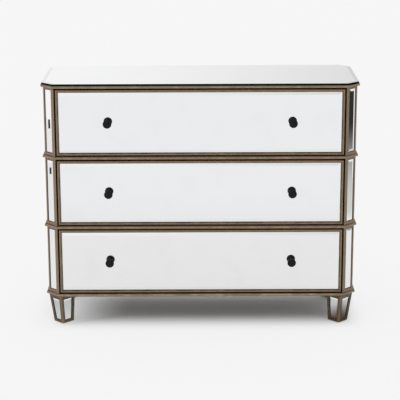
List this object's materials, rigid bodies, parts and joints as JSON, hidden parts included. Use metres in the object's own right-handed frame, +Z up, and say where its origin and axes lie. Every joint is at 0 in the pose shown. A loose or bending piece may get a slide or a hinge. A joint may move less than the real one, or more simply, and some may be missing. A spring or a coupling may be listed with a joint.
{
  "type": "mirrored chest of drawers",
  "caption": "Free-standing mirrored chest of drawers with canted corners, bronze painted trim, tapered mirrored legs, round knobs and full-width sliding drawers.",
  "frame": {"origin": "on the floor, below the middle of the whole chest with its knobs", "axes": "+Z up, drawers open towards -Y, +X to the viewer's right"},
  "size_m": [1.143, 0.4264, 0.908],
  "materials": {
    "bronze_trim": "satin antiqued bronze paint over wood",
    "mirror_glass": "bevelled silvered glass",
    "top_glass": "bevelled silvered glass with a green edge",
    "knob_black": "satin black",
    "bright_steel": "zinc plated",
    "back_board": "stained board",
    "painted_board": "dark stained board",
    "runner_wood": "waxed hardwood",
    "drawer_wood": "lacquered poplar",
    "drawer_ply": "lacquered plywood",
    "glide_plastic": "moulded nylon"
  },
  "bodies": {
    "case": {"back_panel": "back_board", "back_panel_screws": "bright_steel", "base_front_moulding": "bronze_trim", "base_moulding": "bronze_trim", "bottom_board": "painted_board", "drawer_guides": "runner_wood", "drawer_kickers": "runner_wood", "drawer_runners": "runner_wood", "drawer_stops": "runner_wood", "front_left_leg": "bronze_trim", "front_left_post": "bronze_trim", "front_post_mirrors": "mirror_glass", "front_right_leg": "bronze_trim", "front_right_post": "bronze_trim", "left_side_panel": "bronze_trim", "leg_bolts": "bright_steel", "leg_glides": "glide_plastic", "leg_mirrors": "mirror_glass", "leg_tee_nuts": "bright_steel", "lower_front_rail": "bronze_trim", "lower_moulding": "bronze_trim", "rear_left_leg": "bronze_trim", "rear_left_post": "bronze_trim", "rear_post_mirrors": "mirror_glass", "rear_rails": "runner_wood", "rear_right_leg": "bronze_trim", "rear_right_post": "bronze_trim", "right_side_panel": "bronze_trim", "side_beading": "bronze_trim", "side_mirrors": "mirror_glass", "top_board": "painted_board", "top_edge_moulding": "bronze_trim", "top_mirror": "top_glass", "upper_front_rail": "bronze_trim", "upper_moulding": "bronze_trim"},
    "lower_drawer": {"lower_drawer_back": "drawer_wood", "lower_drawer_beading": "bronze_trim", "lower_drawer_bottom": "drawer_ply", "lower_drawer_front": "painted_board", "lower_drawer_knob_screws": "bright_steel", "lower_drawer_knobs": "knob_black", "lower_drawer_mirror": "mirror_glass", "lower_drawer_sides": "drawer_wood"},
    "middle_drawer": {"middle_drawer_back": "drawer_wood", "middle_drawer_beading": "bronze_trim", "middle_drawer_bottom": "drawer_ply", "middle_drawer_front": "painted_board", "middle_drawer_knob_screws": "bright_steel", "middle_drawer_knobs": "knob_black", "middle_drawer_mirror": "mirror_glass", "middle_drawer_sides": "drawer_wood"},
    "upper_drawer": {"upper_drawer_back": "drawer_wood", "upper_drawer_beading": "bronze_trim", "upper_drawer_bottom": "drawer_ply", "upper_drawer_front": "painted_board", "upper_drawer_knob_screws": "bright_steel", "upper_drawer_knobs": "knob_black", "upper_drawer_mirror": "mirror_glass", "upper_drawer_sides": "drawer_wood"}
  },
  "joints": [
    {"name": "lower_drawer_slide", "type": "slide", "parent": "case", "child": "lower_drawer", "axis": [0, -1, 0], "range_m": [0, 0.26]},
    {"name": "middle_drawer_slide", "type": "slide", "parent": "case", "child": "middle_drawer", "axis": [0, -1, 0], "range_m": [0, 0.26]},
    {"name": "upper_drawer_slide", "type": "slide", "parent": "case", "child": "upper_drawer", "axis": [0, -1, 0], "range_m": [0, 0.26]}
  ]
}
